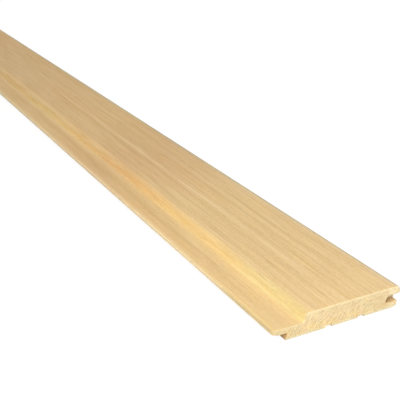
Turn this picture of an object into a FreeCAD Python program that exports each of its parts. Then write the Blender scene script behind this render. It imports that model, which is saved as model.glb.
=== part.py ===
import FreeCAD, Part
import math
import os

# Tongue and groove cladding board: one moulded length of solid timber with square sawn ends.
# Millimetres. X runs along the board, Y across it from the tongue (-Y) to the groove (+Y), and Z up
# from the back to the face. The origin is under the middle of the board, on its back.

# Length of the stock, and the width of wall that one laid board covers
board_length = 1800.0
cover_width = 87.0

# Groove edge, from the back up to the face
lower_lip_thickness = 4.6
groove_height = 4.8
upper_lip_thickness = 5.6

# How far the lips pass over the next board's tongue, from the point where its tip stands
upper_lip_reach = 9.0
lower_lip_reach = 7.2

# Play between a tongue and the groove that it slides into
tongue_gap_below = 0.2
tongue_gap_above = 0.4
tongue_tip_gap = 0.5

# Lean of the groove's bottom and of the cheek under the tongue, both cut by the same pair of cutters
joint_lean_deg = 21.0

# Room behind the lower lip of the next board, and the shadow gap that shows beside its upper lip
back_gap = 4.1
shadow_gap = 13.0

# Bevel between the shoulder and the face, and the long slope that leads the tongue in
bevel_lean_deg = 17.0
lead_in_length = 5.0
lead_in_rise = 1.5

# Sloped outer corner of each lip
lip_bevel_width = 2.2
lip_bevel_height = 2.6
lower_lip_bevel_width = 2.6
lower_lip_bevel_height = 1.6

# Relief grooves along the back
relief_count = 2
relief_spacing = 24.4
relief_width = 4.6
relief_depth = 1.2
relief_wall_run = 0.4

# Radii of the moulded corners
face_round = 2.5
arris_round = 0.5
lip_tip_round = 1.2
cutter_round = 0.4
relief_round = 0.3

# Sizes that follow from the ones above. Y is counted here from the tip of the tongue.
thickness = lower_lip_thickness + groove_height + upper_lip_thickness
overall_width = cover_width + upper_lip_reach
groove_ceiling = lower_lip_thickness + groove_height
tongue_underside = lower_lip_thickness + tongue_gap_below
tongue_top = groove_ceiling - tongue_gap_above
joint_slope = math.tan(math.radians(joint_lean_deg))
bevel_slope = math.tan(math.radians(bevel_lean_deg))

# The longest share of an edge that a rounded corner may take from it
corner_share = 0.45


def tongue_edge():
    """Corners from the face down round the tongue to the back, as (y, z, radius)."""
    shoulder_end = upper_lip_reach + shadow_gap
    bevel_head = shoulder_end + (thickness - tongue_top) * bevel_slope
    root = lower_lip_reach + back_gap
    cheek_foot = root - tongue_underside * joint_slope
    return [
        (bevel_head, thickness, face_round),
        (shoulder_end, tongue_top, cutter_round),
        (0.0, tongue_top, arris_round),
        (0.0, tongue_underside + lead_in_rise, arris_round),
        (lead_in_length, tongue_underside, lead_in_length),
        (root, tongue_underside, cutter_round),
        (cheek_foot, 0.0, arris_round),
    ]


def groove_edge():
    """Corners from the back up round the two lips to the face, as (y, z, radius)."""
    lower_tip = cover_width + lower_lip_reach
    groove_end_top = cover_width - tongue_tip_gap
    groove_end_foot = groove_end_top - groove_height * joint_slope
    return [
        (lower_tip - lower_lip_bevel_width, 0.0, arris_round),
        (lower_tip, lower_lip_bevel_height, lip_tip_round),
        (lower_tip, lower_lip_thickness, arris_round),
        (groove_end_foot, lower_lip_thickness, cutter_round),
        (groove_end_top, groove_ceiling, cutter_round),
        (overall_width, groove_ceiling, arris_round),
        (overall_width, thickness - lip_bevel_height, lip_tip_round),
        (overall_width - lip_bevel_width, thickness, arris_round),
    ]


def relief_grooves(root, edge):
    """Corners of the relief grooves, centred between the tongue's root and the far edge."""
    middle = (root + edge) / 2
    first = middle - relief_spacing * (relief_count - 1) / 2
    corners = []
    for number in range(relief_count):
        centre = first + number * relief_spacing
        mouth = relief_width / 2
        floor = mouth - relief_wall_run
        corners += [
            (centre - mouth, 0.0, relief_round),
            (centre - floor, relief_depth, relief_round),
            (centre + floor, relief_depth, relief_round),
            (centre + mouth, 0.0, relief_round),
        ]
    return corners


def board_corners():
    """All corners of the section in order: tongue edge, back, groove edge, and across the face."""
    root = lower_lip_reach + back_gap
    return tongue_edge() + relief_grooves(root, overall_width) + groove_edge()


def corner_cut(before, corner, after):
    """Start, middle and end of the tangent arc that rounds one corner."""
    y, z, radius = corner
    point = FreeCAD.Vector(0, y, z)
    back = FreeCAD.Vector(0, before[0], before[1]) - point
    ahead = FreeCAD.Vector(0, after[0], after[1]) - point
    half_angle = back.getAngle(ahead) / 2
    shorter = min(back.Length, ahead.Length)
    back.normalize()
    ahead.normalize()
    tangent = min(radius / math.tan(half_angle), corner_share * shorter)
    arc_radius = tangent * math.tan(half_angle)
    bisector = back + ahead
    bisector.normalize()
    to_middle = math.hypot(arc_radius, tangent) - arc_radius
    return point + back * tangent, point + bisector * to_middle, point + ahead * tangent


def section_wire(corners):
    """Closed outline of straight runs joined by tangent arcs."""
    cuts = []
    for number, corner in enumerate(corners):
        before = corners[number - 1]
        after = corners[(number + 1) % len(corners)]
        cuts.append(corner_cut(before, corner, after))
    edges = []
    for number, (start, middle, end) in enumerate(cuts):
        next_start = cuts[(number + 1) % len(cuts)][0]
        edges.append(Part.Arc(start, middle, end).toShape())
        edges.append(Part.LineSegment(end, next_start).toShape())
    return Part.Wire(edges)


def board():
    """The section run along the whole length, set with its origin under the middle of the board."""
    section = Part.Face(section_wire(board_corners()))
    section.translate(FreeCAD.Vector(-board_length / 2, -overall_width / 2, 0))
    return section.extrude(FreeCAD.Vector(board_length, 0, 0))


os.makedirs("parts", exist_ok=True)
solid = board()
solid.exportStep("parts/board.step")
box = solid.BoundBox
print("board", "valid", solid.isValid(), "solids", len(solid.Solids))
print("size in mm", round(box.XLength, 3), round(box.YLength, 3), round(box.ZLength, 3))
print("volume in cubic cm", round(solid.Volume / 1000, 1))
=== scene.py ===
import math
import random
from types import SimpleNamespace

import bpy
from mathutils import Matrix, Vector, geometry, noise


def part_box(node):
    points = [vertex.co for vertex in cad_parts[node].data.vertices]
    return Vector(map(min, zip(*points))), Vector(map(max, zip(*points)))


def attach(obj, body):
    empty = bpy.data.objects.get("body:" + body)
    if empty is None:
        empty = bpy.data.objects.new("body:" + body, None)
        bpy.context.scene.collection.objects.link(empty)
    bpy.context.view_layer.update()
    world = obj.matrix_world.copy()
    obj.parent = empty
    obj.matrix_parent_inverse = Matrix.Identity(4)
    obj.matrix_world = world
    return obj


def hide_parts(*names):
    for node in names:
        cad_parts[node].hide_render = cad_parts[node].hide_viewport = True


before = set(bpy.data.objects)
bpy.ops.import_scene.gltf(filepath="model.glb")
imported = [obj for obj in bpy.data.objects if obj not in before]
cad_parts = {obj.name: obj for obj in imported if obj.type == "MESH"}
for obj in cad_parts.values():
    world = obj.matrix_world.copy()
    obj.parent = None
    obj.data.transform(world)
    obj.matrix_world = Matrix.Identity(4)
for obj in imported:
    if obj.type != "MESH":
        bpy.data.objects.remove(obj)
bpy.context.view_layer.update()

# The board's own box, in metres. The near end is at +X, the tongue at -Y and the face at +Z.
BOARD_LOW, BOARD_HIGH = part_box("board")
LENGTH = BOARD_HIGH.x - BOARD_LOW.x
WIDTH = BOARD_HIGH.y - BOARD_LOW.y
THICKNESS = BOARD_HIGH.z - BOARD_LOW.z
NEAR_END = BOARD_HIGH.x

# Section of the board, in metres, across from the tongue's tip and up from the back, as the solid has it
LOWER_LIP = 0.0046
GROOVE_HEIGHT = 0.0048
UPPER_LIP_REACH = 0.009
LOWER_LIP_REACH = 0.0072
TONGUE_GAP_BELOW = 0.0002
TONGUE_GAP_ABOVE = 0.0004
TONGUE_TIP_GAP = 0.0005
BACK_GAP = 0.0041
SHADOW_GAP = 0.013
JOINT_SLOPE = math.tan(math.radians(21))
BEVEL_SLOPE = math.tan(math.radians(17))
LEAD_IN_LENGTH = 0.005
LEAD_IN_RISE = 0.0015
LIP_BEVEL = (0.0022, 0.0026)
LOWER_LIP_BEVEL = (0.0026, 0.0016)
RELIEF_SPACING = 0.0244
RELIEF_WIDTH = 0.0046
RELIEF_DEPTH = 0.0012
RELIEF_WALL_RUN = 0.0004
FACE_ROUND = 0.0025
ARRIS_ROUND = 0.0005
LIP_TIP_ROUND = 0.0012
CUTTER_ROUND = 0.0004
RELIEF_ROUND = 0.0003
CORNER_SHARE = 0.45

# Places on the section that follow from the ones above
COVER_WIDTH = WIDTH - UPPER_LIP_REACH
SHOULDER_END = UPPER_LIP_REACH + SHADOW_GAP
TONGUE_UNDERSIDE = LOWER_LIP + TONGUE_GAP_BELOW
TONGUE_ROOT = LOWER_LIP_REACH + BACK_GAP
GROOVE_CEILING = LOWER_LIP + GROOVE_HEIGHT
TONGUE_TOP = GROOVE_CEILING - TONGUE_GAP_ABOVE
LIP_ARRIS = WIDTH - LIP_BEVEL[0]

# How finely the mesh follows the section, and how far the arrises of the sawn ends are eased
ARC_STEPS = 6
RUN_STEP = 0.0012
END_EASE = 0.0003
SHARP_ANGLE = math.radians(30)

# Rings of the mesh beside a sawn end, counted in from it, and the number of steps between both groups
END_STATIONS = (0, END_EASE, 0.0015, 0.004, 0.01, 0.025, 0.05)
MIDDLE_STEPS = 24

# Grid of points on a sawn end: its spacing, and its shake and margin to the outline as shares of that
END_GRID = 0.0005
GRID_SHAKE = 0.2
GRID_MARGIN = 0.7

# The heart of the tree lay behind the board, past the groove, and drifts away from it along the board
PITH = (0.166, -0.093)
PITH_DRIFT = 0.008
DRIFT_TURN = 1.5
RING_WIDTH = 0.0015

# Relief that the saw left on the ends: its depth, its marks, and how much each cause has in it
END_RELIEF = 0.00003
SAW_MARK_SPACING = 0.0031
SAW_MARK_LEAN = 0.35
ROUGH_CELL = 0.0012
RING_SHARE = 0.4
ROUGH_SHARE = 0.4
SAW_MARK_SHARE = 0.2

# Painted highlight on the paler rim of a sawn end: how far down it fades out, its strength on the tongue,
# and how far up it faces
RIM_HEIGHT = (0.0004, 0.0022)
TONGUE_RIM = 0.4
RIM_FACES_UP = 0.75

# The unrolled sides fill the map from below up to here, and the two ends lie side by side above them
SIDE_MAP_HEIGHT = 0.92
SIDE_MAP_MARGIN = 0.001
END_MAP_LOW = 0.935
END_MAP_HEIGHT = 0.055
END_MAP_WIDTH = 0.48
END_MAP_START = {1: 0.01, -1: 0.51}


def tongue_edge():
    """Corners from the face round the tongue to the back: y, z, radius, and painted light at the edge,
    above 0 a painted highlight and below 0 painted shade.
    """
    return [
        (SHOULDER_END + (THICKNESS - TONGUE_TOP) * BEVEL_SLOPE, THICKNESS, FACE_ROUND, 0.1),
        (SHOULDER_END, TONGUE_TOP, CUTTER_ROUND, 0),
        (0, TONGUE_TOP, ARRIS_ROUND, 0.5),
        # The tongue's lower round faces down and gets little light, so it takes the strongest painted
        # highlight
        (0, TONGUE_UNDERSIDE + LEAD_IN_RISE, ARRIS_ROUND, 1.0),
        (LEAD_IN_LENGTH, TONGUE_UNDERSIDE, LEAD_IN_LENGTH, 0.8),
        (TONGUE_ROOT, TONGUE_UNDERSIDE, CUTTER_ROUND, -0.35),
        (TONGUE_ROOT - TONGUE_UNDERSIDE * JOINT_SLOPE, 0, ARRIS_ROUND, -0.9),
    ]


def relief_grooves():
    """Corners of the two relief grooves in the back, with a faint painted highlight at the first mouth of
    each and painted shade on the rest.
    """
    middle = (TONGUE_ROOT + WIDTH) / 2
    mouth = RELIEF_WIDTH / 2
    bed = mouth - RELIEF_WALL_RUN
    corners = []
    for centre in (middle - RELIEF_SPACING / 2, middle + RELIEF_SPACING / 2):
        corners += [
            (centre - mouth, 0, RELIEF_ROUND, 0.2),
            (centre - bed, RELIEF_DEPTH, RELIEF_ROUND, -0.8),
            (centre + bed, RELIEF_DEPTH, RELIEF_ROUND, -1.4),
            (centre + mouth, 0, RELIEF_ROUND, -1.2),
        ]
    return corners


def groove_edge():
    """Corners from the back up round the two lips to the face, with painted highlights on the lips' arrises
    and painted shade in the groove.
    """
    tip = COVER_WIDTH + LOWER_LIP_REACH
    end_top = COVER_WIDTH - TONGUE_TIP_GAP
    return [
        (tip - LOWER_LIP_BEVEL[0], 0, ARRIS_ROUND, 0.3),
        (tip, LOWER_LIP_BEVEL[1], LIP_TIP_ROUND, 0.3),
        (tip, LOWER_LIP, ARRIS_ROUND, 0.6),
        (end_top - GROOVE_HEIGHT * JOINT_SLOPE, LOWER_LIP, CUTTER_ROUND, -0.4),
        (end_top, GROOVE_CEILING, CUTTER_ROUND, -0.75),
        (WIDTH, GROOVE_CEILING, ARRIS_ROUND, 0.3),
        (WIDTH, THICKNESS - LIP_BEVEL[1], LIP_TIP_ROUND, 0),
        (LIP_ARRIS, THICKNESS, ARRIS_ROUND, 0),
    ]


def arc_points(before, corner, after):
    """Points of the tangent arc that rounds one corner, each with the corner's tone."""
    point = Vector(corner[:2])
    back = Vector(before[:2]) - point
    ahead = Vector(after[:2]) - point
    half_angle = back.angle(ahead) / 2
    tangent = min(corner[2] / math.tan(half_angle), CORNER_SHARE * min(back.length, ahead.length))
    radius = tangent * math.tan(half_angle)
    bisector = (back.normalized() + ahead.normalized()).normalized()
    centre = point + bisector * math.hypot(radius, tangent)
    start = point + back.normalized() * tangent - centre
    turn = start.angle_signed(point + ahead.normalized() * tangent - centre)
    points = []
    for step in range(ARC_STEPS + 1):
        spoke = start.copy()
        spoke.rotate(Matrix.Rotation(-turn * step / ARC_STEPS, 2))
        points.append((centre + spoke, corner[3]))
    return points


def section_outline():
    """Points round the section, anticlockwise seen from the near end, with long runs divided."""
    corners = tongue_edge() + relief_grooves() + groove_edge()
    rounded = []
    for number, corner in enumerate(corners):
        rounded += arc_points(corners[number - 1], corner, corners[(number + 1) % len(corners)])
    outline = []
    for number, (point, tone) in enumerate(rounded):
        after, tone_after = rounded[(number + 1) % len(rounded)]
        outline.append((point, tone))
        parts = math.ceil((after - point).length / RUN_STEP)
        for part in range(1, parts):
            # A painted highlight on an arris ends one step away from it, and painted shade in a recess
            # fades over the whole run
            share = part / parts
            recess = min(tone, 0) * (1 - share) + min(tone_after, 0) * share
            outline.append((point.lerp(after, share), recess))
    return outline


def outward_normals(points):
    """Unit normals of a closed outline that runs anticlockwise."""
    normals = []
    for number, point in enumerate(points):
        along = points[(number + 1) % len(points)] - points[number - 1]
        normals.append(Vector((along.y, -along.x)).normalized())
    return normals


def ring_distance(y, z, along=0):
    """How far a point of the board lies from the heart of the tree."""
    drift = PITH_DRIFT * math.sin(DRIFT_TURN * along)
    return math.hypot(y - PITH[0] - drift, z - PITH[1])


def stations():
    """Places along the board that carry a ring of the mesh, close together near the sawn ends."""
    near = [LENGTH / 2 - inset for inset in END_STATIONS]
    start = near[-1]
    middle = [start - 2 * start * step / MIDDLE_STEPS for step in range(1, MIDDLE_STEPS)]
    return near + middle + [-x for x in reversed(near)]


def inside(point, outline, margin):
    """True where a point lies inside the outline, and at least the margin away from it."""
    crossings = 0
    for number, start in enumerate(outline):
        end = outline[(number + 1) % len(outline)]
        share = geometry.intersect_point_line(point, start, end)[1]
        if (point - start.lerp(end, min(max(share, 0), 1))).length < margin:
            return False
        if (start.y > point.y) != (end.y > point.y):
            crossings += point.x < start.x + (point.y - start.y) * (end.x - start.x) / (end.y - start.y)
    return crossings % 2 == 1


def end_points(outline):
    """Points inside the outline for the sawn end's own mesh, on a slightly shaken grid."""
    shake = random.Random(4)
    points = []
    for row in range(int(THICKNESS / END_GRID) + 1):
        for column in range(int(WIDTH / END_GRID) + 1):
            y = (column + 0.5 * (row % 2) + shake.uniform(-GRID_SHAKE, GRID_SHAKE)) * END_GRID
            z = (row + shake.uniform(-GRID_SHAKE, GRID_SHAKE)) * END_GRID
            point = Vector((y, z))
            if inside(point, outline, END_GRID * GRID_MARGIN):
                points.append(point)
    return points


def end_relief(side, point):
    """How deep the saw left one point of an end: soft rings sunk between firm ones, and saw marks."""
    ring = ring_distance(point.x, point.y, 0 if side == 1 else LENGTH) / RING_WIDTH
    soft = 0.5 + 0.5 * math.cos(2 * math.pi * ring)
    # The third place in the noise is far enough apart for both ends to differ
    rough = 0.5 + 0.5 * noise.noise(Vector((point.x / ROUGH_CELL, point.y / ROUGH_CELL, side * 3.0)))
    marks = 0.5 + 0.5 * math.sin(2 * math.pi * (point.x + SAW_MARK_LEAN * point.y) / SAW_MARK_SPACING)
    return END_RELIEF * (RING_SHARE * soft + ROUGH_SHARE * rough + SAW_MARK_SHARE * marks)


def rim_share(point, tops):
    """How much a point of a sawn end gets of the painted highlight on the pale rim under the arrises that
    face up.
    """
    near = min((point - top).length for top in tops)
    share = (RIM_HEIGHT[1] - near) / (RIM_HEIGHT[1] - RIM_HEIGHT[0])
    return min(max(share, 0), 1) * (TONGUE_RIM if point.x < SHOULDER_END else 1)


def side_u(x):
    """Place along the map of a place along the board."""
    return SIDE_MAP_MARGIN + (1 - 2 * SIDE_MAP_MARGIN) * (x - BOARD_LOW.x) / LENGTH


def end_uv(side, point):
    """Place on the map of a point of a sawn end."""
    u = END_MAP_START[side] + END_MAP_WIDTH * point.x / WIDTH
    return u, END_MAP_LOW + END_MAP_HEIGHT * point.y / THICKNESS


class Skin:
    """The board's surface as it grows: points with their painted edge light and shade and their painted rim
    highlight, and faces with their map.
    """

    def __init__(self):
        self.vertices, self.tones, self.rims, self.faces, self.uvs = [], [], [], [], []

    def point(self, x, flat, tone, rim):
        """Adds a point from its place along the board and its place on the section."""
        self.vertices.append((x, flat.x - WIDTH / 2, flat.y))
        self.tones.append(tone)
        self.rims.append(rim)
        return len(self.vertices) - 1

    def face(self, corners, uvs):
        self.faces.append(corners)
        self.uvs += uvs

    def mesh(self, name):
        mesh = bpy.data.meshes.new(name)
        mesh.from_pydata(self.vertices, [], self.faces)
        for mark, values in (("painted_edge_light_and_shade", self.tones), ("rim", self.rims)):
            mesh.attributes.new(mark, "FLOAT", "POINT").data.foreach_set("value", values)
        layer = mesh.uv_layers.new(name="OFBake")
        layer.data.foreach_set("uv", [value for pair in self.uvs for value in pair])
        mesh.update()
        return mesh


def add_sides(skin, outline, eased, tops):
    """The section run along X, ring by ring, with its first and last ring eased."""
    places = stations()
    last = len(places) - 1
    count = len(outline)
    for number, x in enumerate(places):
        for (point, tone), shrunk in zip(outline, eased):
            if number in (0, last):
                skin.point(x, shrunk, max(tone, 0), rim_share(point, tops))
            else:
                skin.point(x, point, tone, 0)
    run = [0]
    for number, (point, _) in enumerate(outline):
        run.append(run[-1] + (outline[(number + 1) % count][0] - point).length)
    heights = [SIDE_MAP_HEIGHT * length / run[-1] for length in run]
    for ring in range(last):
        first, second = ring * count, (ring + 1) * count
        here, there = side_u(places[ring]), side_u(places[ring + 1])
        for number in range(count):
            after = (number + 1) % count
            low, high = heights[number], heights[number + 1]
            skin.face((first + number, first + after, second + after, second + number),
                      [(here, low), (here, high), (there, high), (there, low)])


def add_ends(skin, eased, tops):
    """The two sawn ends, each a fine mesh inside the first or the last ring of the sides."""
    count = len(eased)
    last_ring = len(skin.vertices) - count
    border = [(number, (number + 1) % count) for number in range(count)]
    cut = geometry.delaunay_2d_cdt(eased + end_points(eased), border, [list(range(count))], 1, 1e-7)
    flat_points, _, triangles, origins = cut[:4]
    for side, ring in ((1, 0), (-1, last_ring)):
        index = {}
        for number, point in enumerate(flat_points):
            if origins[number][0] < count:
                index[number] = ring + origins[number][0]
            else:
                x = side * (LENGTH / 2 - end_relief(side, point))
                index[number] = skin.point(x, point, 0, rim_share(point, tops))
        for triangle in triangles:
            order = triangle if side == 1 else triangle[::-1]
            skin.face(tuple(index[number] for number in order),
                      [end_uv(side, flat_points[number]) for number in order])


def make_board():
    """The board as one closed mesh, and how many of its faces belong to the moulded sides."""
    outline = section_outline()
    points = [point for point, _ in outline]
    normals = outward_normals(points)
    eased = [point - normal * END_EASE for point, normal in zip(points, normals)]
    lowest_top = TONGUE_TOP - ARRIS_ROUND
    tops = [p for p, n in zip(points, normals) if n.y > RIM_FACES_UP and p.y > lowest_top]
    skin = Skin()
    add_sides(skin, outline, eased, tops)
    sides = len(skin.faces)
    add_ends(skin, eased, tops)
    board = bpy.data.objects.new("board_moulded", skin.mesh("board_moulded"))
    bpy.context.scene.collection.objects.link(board)
    return board, sides


class Value:
    """A number that nodes work out at each point of a surface. Each sign or method adds a node."""

    def __init__(self, graph, socket):
        self.graph = graph
        self.socket = socket

    def __add__(self, other):
        return self.graph.math("ADD", self, other)

    def __sub__(self, other):
        return self.graph.math("SUBTRACT", self, other)

    def __rsub__(self, other):
        return self.graph.math("SUBTRACT", other, self)

    def __mul__(self, other):
        return self.graph.math("MULTIPLY", self, other)

    def __truediv__(self, other):
        return self.graph.math("DIVIDE", self, other)

    def __abs__(self):
        return self.graph.math("ABSOLUTE", self)

    def at_least(self, other):
        return self.graph.math("MAXIMUM", self, other)

    def at_most(self, other):
        return self.graph.math("MINIMUM", self, other)

    def rise(self, low, high, start=0.0, end=1.0):
        """The start value up to the low bound, the end value from the high one on, smooth between them."""
        node = self.graph.add("ShaderNodeMapRange", interpolation_type="SMOOTHSTEP")
        settings = {"Value": self, "From Min": low, "From Max": high, "To Min": start, "To Max": end}
        for name, setting in settings.items():
            self.graph.put(node.inputs[name], setting)
        return Value(self.graph, node.outputs["Result"])

    def fall(self, low, high):
        """1 up to the low bound and 0 from the high one on."""
        return self.rise(low, high, 1.0, 0.0)

    def near(self, centre, reach):
        """1 at the centre, falling softly to 0 at the reach on both sides."""
        return abs(self - centre).fall(0.0, reach)


class Graph:
    """Short ways to add and join the nodes of one material, or of the surroundings."""

    def __init__(self, owner):
        owner.use_nodes = True
        self.nodes = owner.node_tree.nodes
        self.links = owner.node_tree.links
        self.nodes.clear()

    def add(self, kind, **settings):
        node = self.nodes.new(kind)
        for name, value in settings.items():
            setattr(node, name, value)
        return node

    def put(self, socket, value):
        """Joins a value to a socket, or sets the socket to a plain number or colour."""
        if isinstance(value, Value):
            value = value.socket
        if isinstance(value, bpy.types.NodeSocket):
            self.links.new(value, socket)
        else:
            socket.default_value = value

    def math(self, operation, *values):
        node = self.add("ShaderNodeMath", operation=operation)
        for socket, value in zip(node.inputs, values):
            self.put(socket, value)
        return Value(self, node.outputs[0])

    def position(self):
        """A point's place on its object, and its three parts."""
        place = self.add("ShaderNodeTexCoord").outputs["Object"]
        split = self.add("ShaderNodeSeparateXYZ")
        self.put(split.inputs[0], place)
        return place, *(Value(self, part) for part in split.outputs)

    def combine(self, *parts):
        node = self.add("ShaderNodeCombineXYZ")
        for socket, part in zip(node.inputs, parts):
            self.put(socket, part)
        return node.outputs[0]

    def length(self, *parts):
        node = self.add("ShaderNodeVectorMath", operation="LENGTH")
        self.put(node.inputs[0], self.combine(*parts))
        return Value(self, node.outputs["Value"])

    def noise(self, place, cells, detail=2.0, roughness=0.5):
        """Noise over a place, with its cells per metre along X, Y and Z."""
        scaled = self.add("ShaderNodeVectorMath", operation="MULTIPLY")
        self.put(scaled.inputs[0], place)
        self.put(scaled.inputs[1], cells)
        node = self.add("ShaderNodeTexNoise")
        settings = {"Vector": scaled.outputs[0], "Scale": 1.0, "Detail": detail, "Roughness": roughness}
        for name, setting in settings.items():
            self.put(node.inputs[name], setting)
        return Value(self, node.outputs["Fac"])

    def line_noise(self, value, cells, detail):
        """Noise along one value, with its cells per unit."""
        node = self.add("ShaderNodeTexNoise", noise_dimensions="1D")
        for name, setting in {"W": value * cells, "Scale": 1.0, "Detail": detail}.items():
            self.put(node.inputs[name], setting)
        return Value(self, node.outputs["Fac"])

    def attribute(self, name):
        return Value(self, self.add("ShaderNodeAttribute", attribute_name=name).outputs["Fac"])

    def mix(self, colour, share, other, blend="MIX"):
        """Goes over from one colour to another by a share of 0 to 1."""
        node = self.add("ShaderNodeMix", data_type="RGBA", blend_type=blend)
        self.put(node.inputs["Factor"], share)
        for name, value in (("A", colour), ("B", other)):
            self.put(next(end for end in node.inputs if end.name == name and end.type == "RGBA"), value)
        return next(end for end in node.outputs if end.type == "RGBA")

    def tints(self, colour, *changes):
        """Multiplies a colour's red, green and blue where each share is 1, which keeps its grain."""
        for share, ratio in changes:
            colour = self.mix(colour, share, (*ratio, 1.0), "MULTIPLY")
        return colour

    def shader(self, kind, **settings):
        """The output of a new shader node, its inputs set by name, with underscores for the spaces."""
        node = self.add(kind)
        for name, setting in settings.items():
            self.put(node.inputs[name.replace("_", " ")], setting)
        return node.outputs[0]

    def choose(self, share, first, second):
        """The first shader where the share is 0, and the second where it is 1."""
        node = self.add("ShaderNodeMixShader")
        for socket, value in zip(node.inputs, (share, first, second)):
            self.put(socket, value)
        return node.outputs[0]

    def seen_directly(self):
        """1 for the camera and for what mirrors the surroundings, 0 for light that falls on the object."""
        path = self.add("ShaderNodeLightPath")
        return Value(self, path.outputs["Is Camera Ray"]).at_least(path.outputs["Is Glossy Ray"])

    def finish(self, shader, output="ShaderNodeOutputMaterial"):
        self.put(self.add(output).inputs["Surface"], shader)


def srgb(red, green, blue):
    """A colour given as it looks on a screen, from 0 to 255, as the renderer's linear values."""
    linear = []
    for value in (red, green, blue):
        share = value / 255
        linear.append(share / 12.92 if share <= 0.04045 else ((share + 0.055) / 1.055) ** 2.4)
    return (*linear, 1.0)


# Colours of the wood, then a painted highlight for the arrises and painted shade for the recesses and for
# edges turned from the light
PALE_WOOD = srgb(239, 208, 154)
DARK_WOOD = srgb(208, 171, 116)
STREAK_DARK = srgb(196, 160, 104)
STREAK_PALE = srgb(245, 218, 170)
END_PALE = srgb(254, 233, 186)
END_DARK = srgb(194, 160, 106)
ARRIS_PAINTED_HIGHLIGHT = srgb(255, 236, 190)
RECESS_PAINTED_SHADE = srgb(150, 114, 72)
EDGE_PAINTED_SHADE = srgb(186, 164, 118)

# Tone of plain wood, from 0 for pale to 1 for dark, the roughness of pale and of dark wood, and its gloss
PLAIN_TONE = 0.33
PALE_ROUGHNESS = 0.52
DARK_ROUGHNESS = 0.7
SPECULAR = 0.3

# Height of the grain, and how strongly it shows on the planed sides and on the sawn ends
GRAIN_HEIGHT = 0.0002
PLANED_BUMP = 0.25
SAWN_BUMP = 0.15

# How far the rings wander and differ in width, and the cells per metre of the noise that does it
RING_WOBBLE = 0.0016
RING_WOBBLE_CELLS = (3.5, 70.0, 70.0)
RING_SPREAD = 0.005
RING_SPREAD_CELLS = 190.0

# Share of the trunk's drift that the fibres follow across the board
FIBRE_DRIFT = 1.35

# Single dark and pale lines of the grain, and how softly they start and end along the board
LINE_FADE = 0.08
DARK_LINES = (
    (0.0276, 0.0292, THICKNESS, 0.0007, 0.00, 0.25, 0.14),
    (0.0312, 0.0350, THICKNESS, 0.0010, 0.00, 0.36, 0.30),
    (0.0392, 0.0428, THICKNESS, 0.0008, 0.00, 0.34, 0.22),
    (0.0458, 0.0502, THICKNESS, 0.0010, 0.00, 0.44, 0.32),
    (0.0472, 0.0500, THICKNESS, 0.0026, 0.14, 0.42, 0.15),
    (0.0566, 0.0604, THICKNESS, 0.0010, 0.03, 0.40, 0.25),
    (0.0662, 0.0712, THICKNESS, 0.0009, 0.00, 0.46, 0.22),
    (0.0728, 0.0790, THICKNESS, 0.0010, 0.02, 0.48, 0.32),
    (0.0852, 0.0870, THICKNESS, 0.0007, 0.00, 0.18, 0.15),
    (0.0098, 0.0138, TONGUE_TOP, 0.0036, 0.06, 0.50, 0.34),
)
PALE_LINES = (
    (0.0412, 0.0442, THICKNESS, 0.0009, 0.00, 0.24, 0.25),
    (0.0524, 0.0552, THICKNESS, 0.0024, 0.03, 0.50, 0.52),
    (0.0695, 0.0752, THICKNESS, 0.0010, 0.00, 0.48, 0.15),
    (0.0782, 0.0800, THICKNESS, 0.0009, 0.00, 0.10, 0.25),
    (0.0185, 0.0200, TONGUE_TOP, 0.0030, 0.26, 0.90, 0.55),
)


def grain_places(graph):
    """Where a point lies on the board and in the tree, in all the ways that its colours need."""
    at = SimpleNamespace()
    at.point, at.x, at.y, at.z = graph.position()
    at.along = NEAR_END - at.x
    at.across = at.y + WIDTH / 2
    drift = graph.math("SINE", at.along * DRIFT_TURN) * PITH_DRIFT
    from_y = at.y - (PITH[0] - WIDTH / 2)
    from_z = at.z - PITH[1]

    # Distance from the heart, straight along the board and as the trunk bends
    at.straight = graph.length(0.0, from_y, from_z)
    wobble = graph.noise(at.point, RING_WOBBLE_CELLS) * RING_WOBBLE
    at.distance = graph.length(0.0, from_y - drift, from_z) + wobble

    # Place along, round the heart and out from it, for rays and for the strokes on the ends
    round_heart = graph.math("ARCTAN2", from_z, from_y) * PITH[0]
    at.by_ring = graph.combine(at.x, round_heart, at.distance)

    # Place with the trunk's drift taken out, for fibres that run with the rings
    at.by_fibre = graph.combine(at.x, at.y - drift * FIBRE_DRIFT, at.z)
    return at


def rings(graph, at):
    """Rings that grow darker outwards and start afresh, no two of them equally strong or wide."""
    spread = graph.line_noise(at.distance, RING_SPREAD_CELLS, 1.0) * RING_SPREAD
    year = (at.distance + spread) / RING_WIDTH
    ring = graph.math("FRACT", year)
    late = ring.rise(0.35, 0.85) * ring.fall(0.88, 1.0)
    pick = graph.add("ShaderNodeTexWhiteNoise", noise_dimensions="1D")
    graph.put(pick.inputs["W"], graph.math("FLOOR", year))
    strong = graph.math("POWER", pick.outputs["Value"], 1.6)
    broken = graph.noise(at.point, (9.0, 150.0, 150.0)).rise(0.32, 0.62, 0.25, 1.0)
    return late * (strong * broken)


def bands(graph, at):
    """Broad bands across the rings."""
    return graph.line_noise(at.distance, 230.0, 2.0) - 0.5


def rays(graph, at):
    """Fine marks that stand across the rings."""
    return graph.noise(at.by_ring, (420.0, 1700.0, 160.0), 1.0).rise(0.56, 0.7)


def planed_tone(graph, at):
    """How dark the grain of the moulded sides is: rings, clouds, and fibres and dashes along the board."""
    clouds = graph.noise(at.point, (4.0, 45.0, 45.0), 3.0) - 0.5
    fibres = graph.noise(at.by_fibre, (16.0, 1450.0, 1450.0)) - 0.5
    specks = graph.noise(at.by_fibre, (300.0, 1250.0, 1250.0), 2.0, 0.7) - 0.5
    dashes = graph.noise(at.by_fibre, (50.0, 900.0, 900.0), 1.0).rise(0.6, 0.74)
    tone = rings(graph, at) * 0.07 + bands(graph, at) * 0.1 + rays(graph, at) * 0.1 + PLAIN_TONE
    tone = tone + clouds * 0.28 + fibres * 1.4 + specks * 0.9 + dashes * 0.25
    return tone.at_least(0.0).at_most(1.0)


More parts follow.
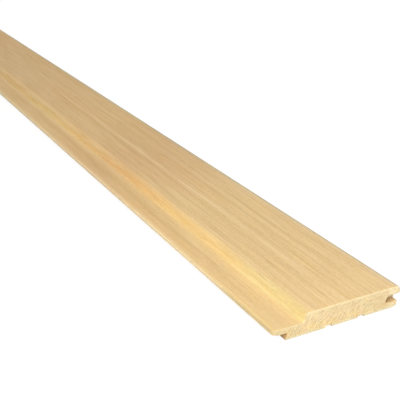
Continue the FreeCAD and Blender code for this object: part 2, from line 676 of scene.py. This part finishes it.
def sawn_tone(graph, at):
    """How dark the end grain is: rings, pores, and strokes that follow the rings."""
    pores = graph.noise(at.point, (1.0, 2200.0, 2200.0), 0.0) - 0.5
    mottle = graph.noise(at.point, (1.0, 260.0, 260.0)) - 0.5
    strokes = graph.noise(at.by_ring, (3.0, 200.0, 1300.0), 1.0) - 0.5
    tone = rings(graph, at) * 0.12 + bands(graph, at) * 0.1 + rays(graph, at) * 0.08 + PLAIN_TONE
    tone = tone + pores * 2.0 + mottle * 0.05 + strokes
    return tone.at_least(0.0).at_most(1.0)


def sawn_patches(graph, at, colour):
    """Yellow and rosy patches of a sawn end, and paler wood at its foot and on both lips."""
    yellow = at.z.near(0.0042, 0.0035) * graph.noise(at.point, (1.0, 150.0, 150.0)).rise(0.48, 0.6)
    rosy = graph.noise(at.point, (2.0, 210.0, 210.0), 1.0).rise(0.52, 0.66)
    lips = at.across.rise(WIDTH - 0.010, WIDTH - 0.007)
    return graph.tints(
        colour,
        (yellow * 0.6, (1.05, 1.02, 0.84)),
        (rosy, (1.0, 0.96, 0.965)),
        (at.z.fall(0.0008, 0.0024), (0.99, 1.08, 1.22)),
        (at.across.fall(SHOULDER_END - 0.0025, SHOULDER_END), (0.945, 0.95, 0.94)),
        (lips, (1.06, 1.1, 1.14)),
        (lips * at.z.rise(THICKNESS / 2, TONGUE_TOP), (1.03, 1.08, 1.15)),
    )


def broad_patches(graph, at, colour):
    """Painted shade that deepens along the board as the light falls off from the near end, a slow change of
    colour about 0.3 m along, and paler wood close to the near end.
    """
    # Painted shade on the far part of the board, where the light falls off
    far = at.along.rise(0.12, 0.42) * at.across.rise(0.015, 0.07, 0.4, 1.0)
    return graph.tints(
        colour,
        (far, (1.0, 0.95, 0.88)),
        (at.along.near(0.30, 0.13), (0.94, 0.91, 0.92)),
        (at.along.fall(0.0, 0.05) * at.across.rise(0.025, 0.029), (1.03, 1.035, 1.05)),
    )


def bevel_patches(graph, at, upper, colour):
    """The moulded band: lemon at the near end, then yellow, rosy a quarter of a metre along, and yellow.
    Painted shade dims the highlight on its round at the head, and painted light lifts the shade in the
    corner at its foot.
    """
    band = at.across.near(SHOULDER_END + 0.0018, 0.0048) * upper
    inner = at.across.near(SHOULDER_END - 0.003, 0.007) * upper
    head = at.across.near(SHOULDER_END + 0.0022, 0.0018) * upper
    beside = at.across.near(SHOULDER_END + 0.0053, 0.0032) * upper
    foot = at.across.near(SHOULDER_END - 0.0005, 0.0025) * upper
    return graph.tints(
        colour,
        (band, (1.02, 1.12, 1.04)),
        (band * at.along.rise(0.03, 0.12), (1.11, 1.01, 1.0)),
        (band * at.along.rise(0.25, 0.45), (1.0, 0.97, 0.88)),
        (band * at.along.near(0.26, 0.15), (1.02, 0.93, 0.86)),
        (inner, (1.02, 1.04, 1.03)),
        # Painted shade on the band's round, against the highlight there
        (head, (0.92, 0.90, 0.87)),
        (head * at.along.rise(0.15, 0.3), (0.96, 0.96, 0.9)),
        (beside, (1.05, 1.055, 1.075)),
        # Painted light in the corner at the band's foot, against the shade there
        (foot, (1.0, 1.045, 1.1)),
        (foot * at.along.rise(0.3, 0.42), (1.01, 1.08, 1.14)),
    )


def lip_patches(graph, at, colour):
    """The last of the face before the upper lip is greyer, and its arris is painted darker as shade where
    the rounded lip turns away from the light.
    """
    top = at.z.rise(THICKNESS - 0.0014, THICKNESS - 0.0004)
    beside = at.across.rise(LIP_ARRIS - 0.0055, LIP_ARRIS - 0.0005) * top
    colour = graph.tints(
        colour,
        (beside, (0.98, 1.05, 1.3)),
        (beside * at.along.rise(0.04, 0.3), (0.91, 0.96, 0.97)),
    )
    # Painted shade along the upper lip's arris
    arris = at.across.rise(LIP_ARRIS - 0.0016, LIP_ARRIS - 0.0002) * top
    return graph.mix(colour, arris * 0.95, EDGE_PAINTED_SHADE)


def tongue_patches(graph, at, upper, colour):
    """The outer shoulder is rosier. The tongue's tip face is painted darker as shade at the near end, and
    further on painted paler as light on its face and lower round; the top beside the tip is paler.
    """
    outer = at.across.fall(0.008, 0.014) * upper * at.along.near(0.17, 0.17)
    colour = graph.tints(colour, (outer, (0.99, 0.95, 0.92)))
    # Painted shade on the tongue's tip face close to the near end
    tip_shade = at.across.fall(0.0001, 0.0012) * at.along.rise(0.03, 0.1, 0.6, 0.0)
    colour = graph.mix(colour, tip_shade, EDGE_PAINTED_SHADE)
    beside = at.across.near(0.0012, 0.0032) * upper
    return graph.tints(
        colour,
        # Painted light on the tip face and its rounds further on, which face sideways and down
        (at.across.fall(0.0002, 0.0007) * at.along.rise(0.03, 0.08), (1.08, 1.17, 1.42)),
        (beside, (1.04, 1.07, 1.05)),
        (beside * at.along.rise(0.06, 0.2), (1.09, 1.13, 1.25)),
    )


def planed_patches(graph, at, colour):
    """Everything that changes the colour of the moulded sides, apart from their grain."""
    upper = at.z.rise(TONGUE_TOP - 0.0012, TONGUE_TOP)
    colour = broad_patches(graph, at, colour)
    colour = bevel_patches(graph, at, upper, colour)
    colour = lip_patches(graph, at, colour)
    colour = tongue_patches(graph, at, upper, colour)
    blush = graph.noise(at.point, (5.0, 38.0, 38.0)).rise(0.5, 0.68)
    return graph.tints(colour, (blush, (1.01, 0.97, 0.95)))


def grain_lines(graph, at, chosen):
    """Where a few single lines of the grain run, as one share from 0 to 1.

    Each line is given by how far across from the tongue's tip it lies at the near end and at its far end,
    the height of the surface it shows on, its half width, where it starts and ends along the board from
    the near end, and its strength.
    """
    total = 0.0
    for near_y, far_y, height, half_width, start, end, strength in chosen:
        at_near = ring_distance(near_y, height)
        slope = (ring_distance(far_y, height) - at_near) / (end - start)
        off = abs(at.straight - (at.along * slope + (at_near - slope * start)))
        fade = min(LINE_FADE, (end - start) / 3)
        share = off.rise(0.0, half_width, strength, 0.0) * at.along.fall(end - fade, end + fade)
        if start > 0:
            share = share * at.along.rise(start - fade, start + fade)
        total = share.at_least(total)
    return total


def streaks(graph, at, colour):
    """The single dark and pale lines of the grain, broken here and there."""
    gaps = graph.noise(at.point, (28.0, 350.0, 350.0)).rise(0.36, 0.56, 0.35, 1.0)
    colour = graph.mix(colour, grain_lines(graph, at, DARK_LINES) * gaps, STREAK_DARK)
    return graph.mix(colour, grain_lines(graph, at, PALE_LINES) * gaps, STREAK_PALE)


def paint_edge_light_and_shade(graph, at, arris, painted_light_here, colour):
    """Painted highlight on the arrises and on the rim round the sawn ends, and painted shade in the
    recesses.
    """
    broken = graph.noise(at.point, (160.0, 900.0, 900.0)).rise(0.35, 0.6, 0.45, 1.0)
    colour = graph.mix(colour, arris * (broken * 0.7), ARRIS_PAINTED_HIGHLIGHT)
    colour = graph.mix(colour, graph.attribute("rim") * (broken * 0.85), ARRIS_PAINTED_HIGHLIGHT)
    return graph.mix(colour, (painted_light_here * -0.7).at_least(0.0), RECESS_PAINTED_SHADE)


def wood(name, end_grain):
    """Pale planed timber, worked out in the round, so that rings, rays and fibres meet at every arris."""
    material = bpy.data.materials.new(name)
    graph = Graph(material)
    at = grain_places(graph)
    painted_light_here = graph.attribute("painted_edge_light_and_shade")
    arris = painted_light_here.at_least(0.0)
    yellowish = graph.noise(at.point, (30.0, 260.0, 260.0)).rise(0.4, 0.6)
    hue = (yellowish, (1.01, 1.0, 0.95))
    if end_grain:
        tone = sawn_tone(graph, at)
        colour = graph.mix(END_PALE, tone, END_DARK)
        colour = graph.tints(sawn_patches(graph, at, colour), hue)
    else:
        tone = planed_tone(graph, at)
        colour = graph.mix(PALE_WOOD, tone, DARK_WOOD)
        colour = graph.tints(planed_patches(graph, at, colour), hue)
        colour = streaks(graph, at, colour)
        # The painted highlight on the tongue's upper arris fades out close to the near end
        upper = at.z.rise(TONGUE_TOP - 0.0014, TONGUE_TOP - 0.0006)
        arris = arris * (1.0 - upper * at.along.rise(0.02, 0.11, 0.8, 0.0))
    colour = paint_edge_light_and_shade(graph, at, arris, painted_light_here, colour)
    bump = graph.add("ShaderNodeBump")
    graph.put(bump.inputs["Strength"], SAWN_BUMP if end_grain else PLANED_BUMP)
    graph.put(bump.inputs["Distance"], GRAIN_HEIGHT)
    graph.put(bump.inputs["Height"], 1.0 - tone)
    surface = graph.shader(
        "ShaderNodeBsdfPrincipled",
        Base_Color=colour,
        Roughness=tone.rise(0.0, 1.0, PALE_ROUGHNESS, DARK_ROUGHNESS),
        Specular_IOR_Level=SPECULAR,
        Normal=bump.outputs[0],
    )
    graph.finish(surface)
    return material


def dress_board():
    """Builds the board's mesh, gives it its two finishes and lets it stand for the solid."""
    board, sides = make_board()
    mesh = board.data
    mesh.materials.append(wood("planed_wood", False))
    mesh.materials.append(wood("sawn_end_grain", True))
    for polygon in mesh.polygons:
        polygon.material_index = int(polygon.index >= sides)
        polygon.use_smooth = True
    mesh.set_sharp_from_angle(angle=SHARP_ANGLE)
    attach(board, "root")
    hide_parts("board")


# Fibres torn from the groove's ceiling: place across, width, drop, how far in from the near end, and
# painted shade, below 0, on those that hang in the groove's shade
TORN_FIBRES = (
    (0.0863, 0.0011, 0.0008, 0.0001, 0.0),
    (0.0874, 0.0009, 0.0010, 0.0001, 0.0),
    (0.0888, 0.0012, 0.0013, 0.0008, -0.8),
    (0.0898, 0.0012, 0.0020, 0.0008, -0.8),
    (0.0907, 0.0010, 0.0024, 0.0006, -0.6),
)

# A fibre's depth, how far its root is sunk, how far back its tip stands, and its tip's sides in widths
TORN_DEPTH = 0.0012
TORN_ROOT = 0.0002
TORN_TIP_INSET = 0.0001
TORN_TIP_SIDES = (-0.15, 0.4)

# Faces of a fibre, of which the first four points are the root and the last two the tip
TORN_FACES = ((0, 4, 5, 1), (1, 5, 3), (3, 5, 4, 2), (2, 4, 0), (0, 1, 3, 2))


def torn_fibres():
    """A few pointed slivers that hang from the groove's ceiling at the near end."""
    root = GROOVE_CEILING + TORN_ROOT
    vertices, faces, tones = [], [], []
    for across, width, drop, inset, tone in TORN_FIBRES:
        first = len(vertices)
        y = across - WIDTH / 2
        front = NEAR_END - inset
        for x in (front, front - TORN_DEPTH):
            vertices += [(x, y - width / 2, root), (x, y + width / 2, root)]
        for side in TORN_TIP_SIDES:
            vertices.append((front - TORN_TIP_INSET, y + side * width, GROOVE_CEILING - drop))
        tones += [tone] * (len(vertices) - first)
        for corners in TORN_FACES:
            faces.append([first + corner for corner in corners])
    mesh = bpy.data.meshes.new("torn_fibres")
    mesh.from_pydata(vertices, [], faces)
    mesh.attributes.new("painted_edge_light_and_shade", "FLOAT", "POINT").data.foreach_set("value", tones)
    mesh.materials.append(bpy.data.materials["sawn_end_grain"])
    fibres = bpy.data.objects.new("torn_fibres", mesh)
    bpy.context.scene.collection.objects.link(fibres)
    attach(fibres, "root")


# Even sky, which is plain white to the camera
WHITE = (1.0, 1.0, 1.0, 1.0)
SKY_STRENGTH = 0.3

# Floor that looks white but for a share of the board's shadow. Its glow rises outwards over the reach.
FLOOR_HALF_SIZE = 12.0
FLOOR_COLOUR = (0.82, 0.82, 0.82, 1.0)
FLOOR_SHADOW = (0.1, 0.1, 0.1, 1.0)
FLOOR_GLOW = (0.94, 1.0)
FLOOR_GLOW_REACH = (0.1, 0.5)

# Square lamps on the photo's side: name, place, what they aim at, size and power
LAMPS = (
    ("beside_camera", (NEAR_END + 0.35, -0.45, 0.55), (NEAR_END - 0.1, 0.0, 0.0), 0.4, 5.2),
    ("in_front", (NEAR_END + 0.7, 0.1, 0.5), (NEAR_END - 0.1, 0.0, 0.0), 0.5, 1.1),
    ("overhead", (0.2, -0.5, 1.6), (0.2, 0.0, 0.0), 1.5, 4.45),
)

# Lamps that fill the sides turned away from the camera, and that the face doesn't shine with
FILL_LAMPS = (
    ("behind", (-0.1, 1.5, 0.55), (-0.1, 0.0, 0.0), 1.4, 3.0),
    ("at_far_end", (-NEAR_END - 0.35, 0.45, 0.5), (-NEAR_END + 0.1, 0.0, 0.0), 0.4, 4.0),
)


def floor():
    """A plain white floor that keeps the board's shadow and looks white to the camera."""
    mesh = bpy.data.meshes.new("floor")
    half = FLOOR_HALF_SIZE
    corners = [(-half, -half, 0), (half, -half, 0), (half, half, 0), (-half, half, 0)]
    mesh.from_pydata(corners, [], [(0, 1, 2, 3)])
    ground = bpy.data.objects.new("floor", mesh)
    bpy.context.scene.collection.objects.link(ground)
    material = bpy.data.materials.new("white_floor")
    graph = Graph(material)
    _, x, y, _ = graph.position()
    away = (abs(x) - LENGTH / 2).at_least(abs(y) - WIDTH / 2)
    lit = graph.shader("ShaderNodeBsdfDiffuse", Color=FLOOR_COLOUR)
    shadow = graph.shader("ShaderNodeBsdfDiffuse", Color=FLOOR_SHADOW)
    glow = graph.shader("ShaderNodeEmission", Strength=away.rise(*FLOOR_GLOW_REACH, *FLOOR_GLOW))
    seen = graph.add("ShaderNodeAddShader")
    graph.put(seen.inputs[0], shadow)
    graph.put(seen.inputs[1], glow)
    graph.finish(graph.choose(graph.seen_directly(), lit, seen.outputs[0]))
    mesh.materials.append(material)


def sky():
    """An even soft light from all round, which the camera sees as plain white."""
    world = bpy.data.worlds.new("studio")
    bpy.context.scene.world = world
    graph = Graph(world)
    light = graph.shader("ShaderNodeBackground", Color=WHITE, Strength=SKY_STRENGTH)
    seen = graph.shader("ShaderNodeBackground", Color=WHITE, Strength=1.0)
    graph.finish(graph.choose(graph.seen_directly(), light, seen), "ShaderNodeOutputWorld")


def lamp(name, place, aim, size, power):
    """A square soft lamp that looks from its place towards its aim."""
    data = bpy.data.lights.new(name, "AREA")
    data.shape = "SQUARE"
    data.size = size
    data.energy = power
    light = bpy.data.objects.new(name, data)
    bpy.context.scene.collection.objects.link(light)
    light.location = place
    light.rotation_mode = "QUATERNION"
    light.rotation_quaternion = (Vector(aim) - Vector(place)).to_track_quat("-Z", "Y")
    return light


def lights():
    """The sky and the lamps."""
    sky()
    for settings in LAMPS:
        lamp(*settings)
    for settings in FILL_LAMPS:
        lamp(*settings).visible_glossy = False


# Camera of the photo, solved from the board's parallel arrises
CAMERA_AZIMUTH = math.radians(61.9)
CAMERA_PITCH = math.radians(23.07)
CAMERA_LENS_MM = 72.1
CAMERA_SENSOR_MM = 36.0
CAMERA_FROM_END = Vector((0.33168, -0.27257, 0.26201))
CAMERA_CLIP = (0.01, 50)


def camera():
    """The camera, at the place and the angle of the photo's."""
    data = bpy.data.cameras.new("photo_camera")
    data.sensor_fit = "HORIZONTAL"
    data.sensor_width = CAMERA_SENSOR_MM
    data.lens = CAMERA_LENS_MM
    data.clip_start, data.clip_end = CAMERA_CLIP
    eye = bpy.data.objects.new("photo_camera", data)
    bpy.context.scene.collection.objects.link(eye)
    eye.location = CAMERA_FROM_END + Vector((NEAR_END, 0, 0))
    eye.rotation_euler = (math.pi / 2 - CAMERA_PITCH, 0, CAMERA_AZIMUTH)
    bpy.context.scene.camera = eye


dress_board()
torn_fibres()
floor()
lights()
camera()
bpy.context.scene.view_settings.view_transform = "Standard"
